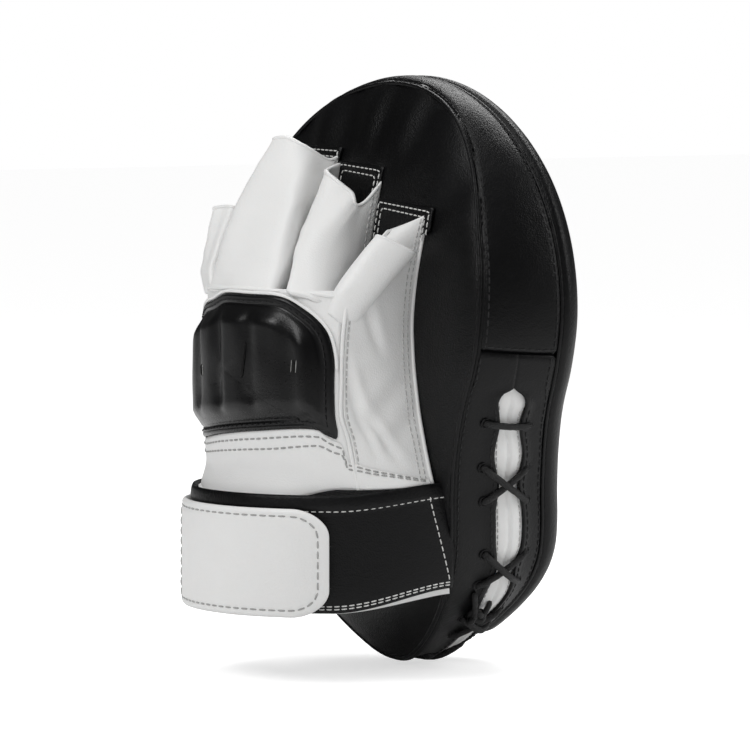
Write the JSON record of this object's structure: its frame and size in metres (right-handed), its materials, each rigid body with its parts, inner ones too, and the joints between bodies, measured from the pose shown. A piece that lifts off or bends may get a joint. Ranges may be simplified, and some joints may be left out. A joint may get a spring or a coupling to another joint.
{
  "type": "focus mitt",
  "caption": "Curved boxing focus mitt for the left hand: padded striking face with a round target, laced gusset heel, finger stalls, padded knuckle panel and hook-and-loop wrist cuff.",
  "frame": {"origin": "middle of the palm surface that the hand lies on, at mid height of the pad", "axes": "+Z from the heel to the finger end, -Y towards the striking side, +Y out of the palm into the hand, -X the thumb side of a left hand"},
  "size_m": [0.202, 0.1552, 0.253],
  "materials": {
    "black_leather": "semi-gloss grained",
    "gloss_black_leather": "glossy smooth",
    "white_leather": "soft semi-gloss",
    "black_cord": "braided cord",
    "target_print": "satin heat-pressed film",
    "lining_cloth": "woven lining",
    "loop_pile": "loop pile",
    "hook_tape": "moulded hooks on tape",
    "foam": "closed-cell foam"
  },
  "bodies": {
    "pad": {"back_foam": "foam", "back_panel": "black_leather", "core_foam": "foam", "face_backing_foam": "foam", "face_cover": "black_leather", "finger_patches": "black_leather", "gusset_tongue": "white_leather", "hand_back_band": "white_leather", "hand_back_shell": "white_leather", "heel_rim_back": "black_leather", "heel_rim_front": "black_leather", "knuckle_foam": "foam", "knuckle_panel": "gloss_black_leather", "palm_lining": "lining_cloth", "panel_piping": "white_leather", "pinky_flank": "white_leather", "pinky_lining": "white_leather", "pinky_strap": "black_leather", "side_band_upper": "black_leather", "side_lace": "black_cord", "strike_foam": "foam", "target_disc": "target_print", "target_ring": "target_print", "thumb_flank": "white_leather"},
    "finger_stall_index": {"stall_index": "white_leather"},
    "finger_stall_middle": {"stall_middle": "white_leather"},
    "finger_stall_ring": {"stall_ring": "white_leather"},
    "finger_stall_pinky": {"stall_pinky": "white_leather"},
    "cuff": {"wrist_strap": "black_leather", "wrist_lining": "white_leather", "loop_patch": "loop_pile"},
    "tab": {"hook_tab": "white_leather", "hook_patch": "hook_tape"}
  },
  "joints": [
    {"name": "tab_peel", "type": "hinge", "parent": "pad", "child": "tab", "pos_m": [0.0525, 0.0478, -0.074], "axis": [0, 0, -1], "range_deg": [0, 110], "stiffness_Nm_per_rad": 0.15},
    {"name": "cuff_open", "type": "hinge", "parent": "pad", "child": "cuff", "pos_m": [-0.064, -0.0092, -0.07], "axis": [0, 0, 1], "range_deg": [0, 25], "stiffness_Nm_per_rad": 0.3},
    {"name": "index_flex", "type": "hinge", "parent": "pad", "child": "finger_stall_index", "pos_m": [0, 0.0328, 0.0362], "axis": [-1, 0, 0], "range_deg": [0, 20], "stiffness_Nm_per_rad": 0.3},
    {"name": "middle_flex", "type": "hinge", "parent": "pad", "child": "finger_stall_middle", "pos_m": [0, 0.0508, 0.0362], "axis": [-1, 0, 0], "range_deg": [0, 20], "stiffness_Nm_per_rad": 0.3},
    {"name": "ring_flex", "type": "hinge", "parent": "pad", "child": "finger_stall_ring", "pos_m": [0, 0.0458, 0.0362], "axis": [-1, 0, 0], "range_deg": [0, 20], "stiffness_Nm_per_rad": 0.3},
    {"name": "pinky_flex", "type": "hinge", "parent": "pad", "child": "finger_stall_pinky", "pos_m": [0, 0.0348, 0.0362], "axis": [-1, 0, 0], "range_deg": [0, 20], "stiffness_Nm_per_rad": 0.3}
  ],
  "couplings": [
    {"joint": "cuff_open", "follows": "tab_peel", "ratio": 0.2}
  ]
}
